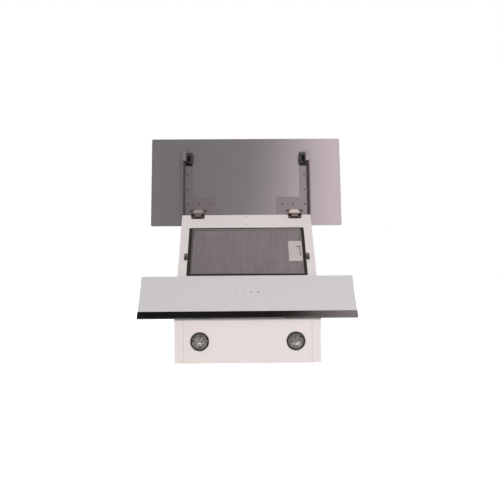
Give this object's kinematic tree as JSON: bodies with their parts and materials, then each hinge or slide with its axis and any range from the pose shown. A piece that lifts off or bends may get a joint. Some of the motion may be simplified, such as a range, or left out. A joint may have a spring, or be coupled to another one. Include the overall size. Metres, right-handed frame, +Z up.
{
  "type": "angled range hood",
  "caption": "Wall-hung inclined range hood with a fixed lower glass, a top-hinged upper glass flap swung open over a latched mesh filter, lamps, blower and a dampered round outlet.",
  "frame": {"origin": "midway between the two upper wall screw holes, on the wall face of the back panel", "axes": "+Z up, +Y into the wall, +X to the right of someone who faces the hood; the room is on the -Y side"},
  "size_m": [0.596, 0.6594, 0.3235],
  "materials": {
    "white_enamel": "smooth semi-gloss white enamel",
    "seal_black": "matt black foam seal",
    "filter_aluminium": "washed bare aluminium",
    "satin_nickel": "satin bright plate",
    "spring_steel": "bright spring strip",
    "latch_black": "fine matt black",
    "lever_grey": "fine matt grey",
    "white_glass": "toughened, white back print, polished",
    "grey_backed_glass": "toughened, white face, grey protective back print",
    "polished_black_trim": "mirror-polished dark coating",
    "zinc_steel": "dull zinc plate",
    "module_plastic": "plain moulded",
    "stud_brass": "turned, slightly dulled",
    "lamp_black": "glossy black",
    "lamp_glass": "clear",
    "lamp_silver": "metallised and faceted",
    "can_plastic": "heat-proof moulding",
    "blower_plastic": "flame-retardant moulding",
    "motor_casting": "cast",
    "shaft_steel": "ground",
    "capacitor_case": "plain moulded"
  },
  "bodies": {
    "casing": {"back_panel": "white_enamel", "blower_half_left": "blower_plastic", "blower_half_right": "blower_plastic", "blower_screws": "zinc_steel", "blower_strap": "zinc_steel", "cable_gland": "module_plastic", "casing_screws": "zinc_steel", "catch_studs": "stud_brass", "control_box": "module_plastic", "control_box_lid": "module_plastic", "damper_pins": "shaft_steel", "duct_collar": "blower_plastic", "filter_back_mesh": "filter_aluminium", "filter_core": "filter_aluminium", "filter_frame": "filter_aluminium", "filter_front_mesh": "filter_aluminium", "filter_gasket": "seal_black", "front_frame": "white_enamel", "hinge_body_rivets": "satin_nickel", "hinge_left_body_leaf": "satin_nickel", "hinge_pins": "satin_nickel", "hinge_right_body_leaf": "satin_nickel", "lamp_left_bezel": "lamp_black", "lamp_left_can": "can_plastic", "lamp_left_lens": "lamp_glass", "lamp_left_reflector": "lamp_silver", "lamp_right_bezel": "lamp_black", "lamp_right_can": "can_plastic", "lamp_right_lens": "lamp_glass", "lamp_right_reflector": "lamp_silver", "latch_plate": "satin_nickel", "latch_spring": "spring_steel", "light_panel": "white_enamel", "lower_edge_trim": "polished_black_trim", "lower_glass": "white_glass", "lower_glass_rail_left": "zinc_steel", "lower_glass_rail_right": "zinc_steel", "motor": "motor_casting", "motor_capacitor": "capacitor_case", "motor_cradle": "zinc_steel", "outlet_adapter": "blower_plastic", "side_panel_left": "white_enamel", "side_panel_right": "white_enamel", "top_panel": "white_enamel", "touch_module": "module_plastic"},
    "flap": {"flap_glass": "grey_backed_glass", "flap_bracket_left": "zinc_steel", "flap_bracket_right": "zinc_steel", "catch_clip_left": "latch_black", "catch_clip_right": "latch_black", "bracket_rivets": "zinc_steel", "hinge_left_flap_leaf": "satin_nickel", "hinge_right_flap_leaf": "satin_nickel", "hinge_flap_screws": "satin_nickel", "hinge_caps": "satin_nickel"},
    "latch": {"latch_lever": "lever_grey"},
    "impeller": {"impeller": "blower_plastic", "motor_shaft": "shaft_steel"},
    "front_damper": {"damper_front": "blower_plastic"},
    "rear_damper": {"damper_rear": "blower_plastic"}
  },
  "joints": [
    {"name": "flap_hinge", "type": "hinge", "parent": "casing", "child": "flap", "pos_m": [0, -0.41739, 0.04027], "axis": [1, 0, 0], "range_deg": [0, 149]},
    {"name": "latch_slide", "type": "slide", "parent": "casing", "child": "latch", "axis": [-1, 0, 0], "range_m": [0, 0.004], "stiffness_N_per_m": 400, "deforming": ["latch_spring"]},
    {"name": "impeller_spin", "type": "hinge", "parent": "casing", "child": "impeller", "pos_m": [0, -0.14, -0.0542], "axis": [1, 0, 0], "continuous": true},
    {"name": "front_damper_hinge", "type": "hinge", "parent": "casing", "child": "front_damper", "pos_m": [0, -0.104, 0.0513], "axis": [-1, 0, 0], "range_deg": [0, 75]},
    {"name": "rear_damper_hinge", "type": "hinge", "parent": "casing", "child": "rear_damper", "pos_m": [0, -0.094, 0.0513], "axis": [1, 0, 0], "range_deg": [0, 75]}
  ]
}
